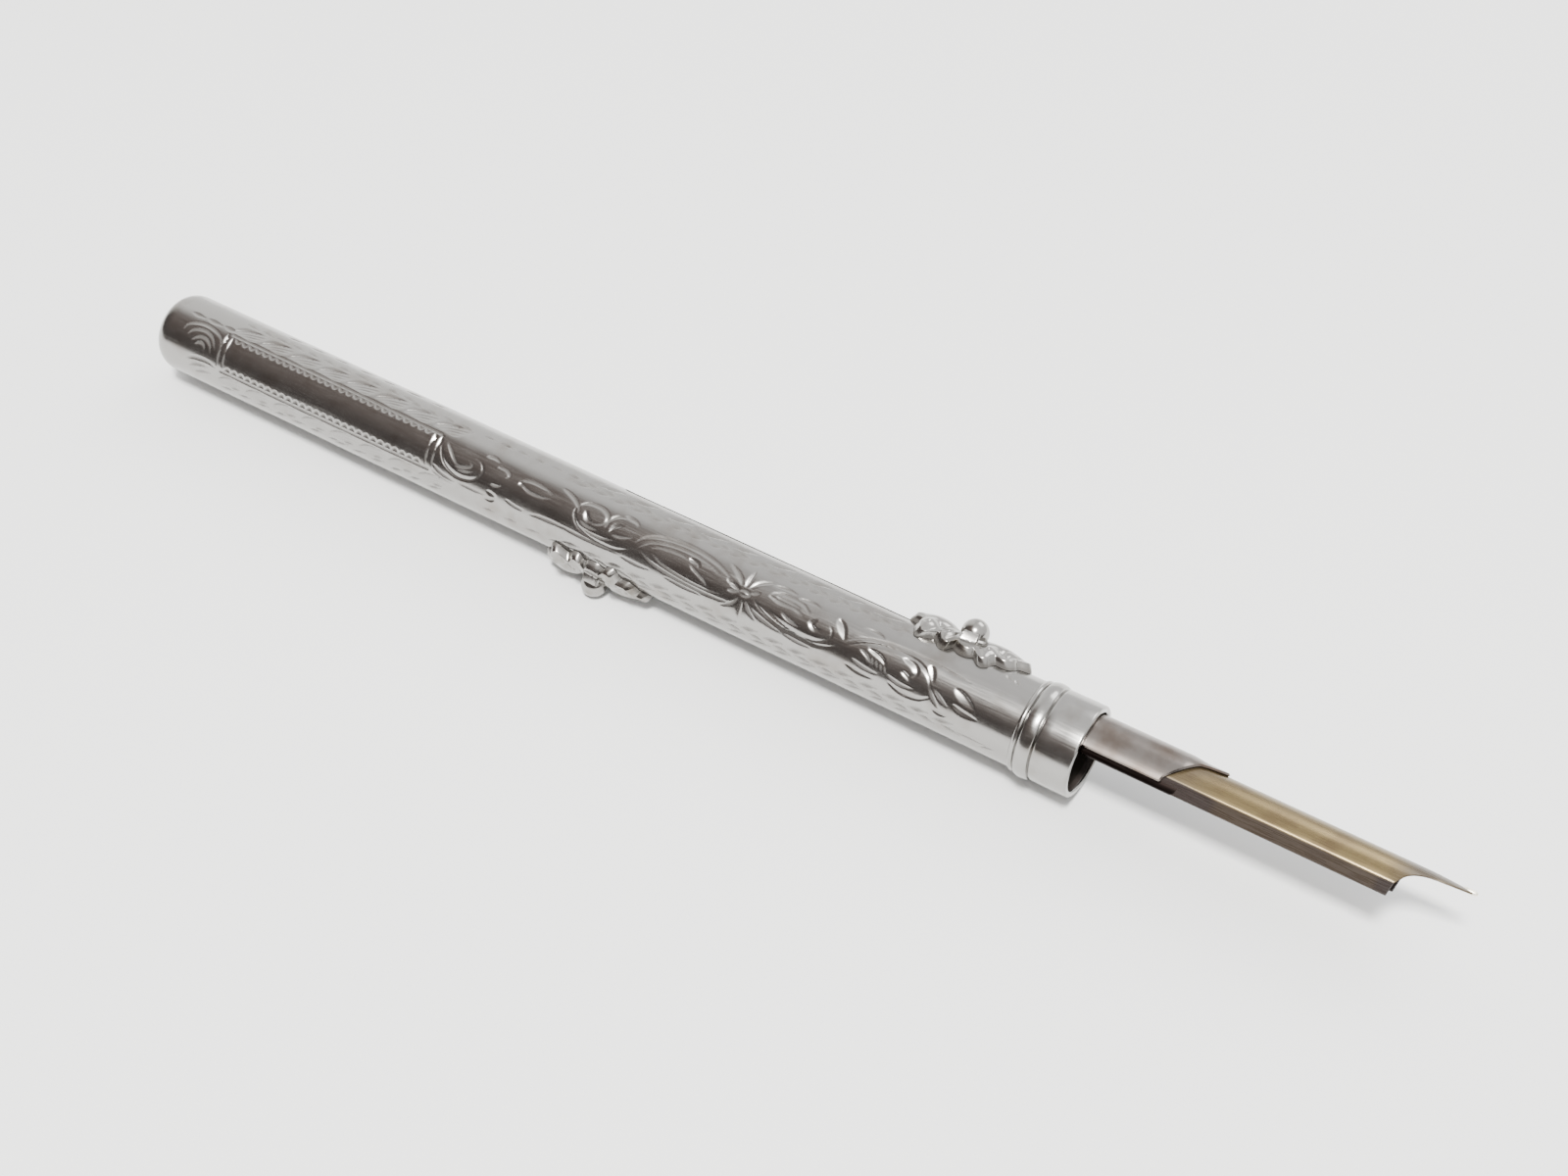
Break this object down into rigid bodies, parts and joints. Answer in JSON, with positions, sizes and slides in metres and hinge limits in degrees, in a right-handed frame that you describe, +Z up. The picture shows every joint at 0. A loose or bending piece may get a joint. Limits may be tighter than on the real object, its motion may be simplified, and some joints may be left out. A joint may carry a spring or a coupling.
{
  "type": "double-slide dip pen holder",
  "caption": "Engraved round silver barrel whose ornamental sliders push out a dip pen nib and, on the far side, a small propelling pencil.",
  "frame": {"origin": "centre of the mouth's plane, on the barrel's axis", "axes": "+X along the barrel's axis towards the nib, +Z up with the barrel lying down and the pen's slider up and away (+Y) from the front"},
  "size_m": [0.1549, 0.011, 0.0106],
  "materials": {
    "engraved_silver": "polished silver, bright-cut engraved, lightly tarnished",
    "plain_silver": "polished silver with fine wear scratches",
    "cast_silver": "cast silver, polished on the crests and dark in the recesses",
    "sheath_silver": "ink-stained tarnished silver",
    "bed_silver": "dark oxidised silver",
    "nib_gilt": "worn gold alloy with ink stains",
    "pellet_alloy": "pale hard point alloy",
    "slide_brass": "drawn brass, unpolished",
    "spring_steel": "blued spring steel",
    "pencil_silver": "polished silver, turned and fluted",
    "graphite": "matt dark graphite"
  },
  "bodies": {
    "barrel": {"barrel_tube": "engraved_silver", "mouth_collar": "plain_silver", "end_cap": "plain_silver", "cap_finial": "plain_silver"},
    "pen": {"pen_slide": "slide_brass", "pen_slider": "cast_silver", "pen_slider_stud": "cast_silver", "pen_friction_spring": "spring_steel", "pen_spring_rivet": "slide_brass", "nib_sheath": "sheath_silver", "nib_bed": "bed_silver", "nib": "nib_gilt", "nib_tip_pellet": "pellet_alloy"},
    "pencil": {"pencil_slide": "slide_brass", "pencil_slider": "cast_silver", "pencil_slider_stud": "cast_silver", "pencil_friction_spring": "spring_steel", "pencil_spring_rivet": "slide_brass", "pencil_case": "pencil_silver", "pencil_case_plug": "slide_brass", "feed_guide_tube": "slide_brass", "nozzle_retainer": "slide_brass"},
    "nozzle": {"nozzle_tube": "slide_brass", "feed_spiral": "spring_steel", "pencil_nozzle": "pencil_silver"},
    "lead": {"lead_pusher": "spring_steel", "pusher_pin": "spring_steel", "pencil_lead": "graphite"}
  },
  "joints": [
    {"name": "pen_travel", "type": "slide", "parent": "barrel", "child": "pen", "axis": [1, 0, 0], "range_m": [-0.04, 0]},
    {"name": "pencil_travel", "type": "slide", "parent": "barrel", "child": "pencil", "axis": [1, 0, 0], "range_m": [0, 0.04]},
    {"name": "nozzle_twist", "type": "hinge", "parent": "pencil", "child": "nozzle", "pos_m": [-0.018, -0.00113, -0.00106], "axis": [1, 0, 0], "range_deg": [0, 1081]},
    {"name": "lead_feed", "type": "slide", "parent": "pencil", "child": "lead", "axis": [1, 0, 0], "range_m": [0, 0.003]}
  ],
  "couplings": [
    {"joint": "nozzle_twist", "follows": "lead_feed", "rad_per_m": 6283.2}
  ]
}
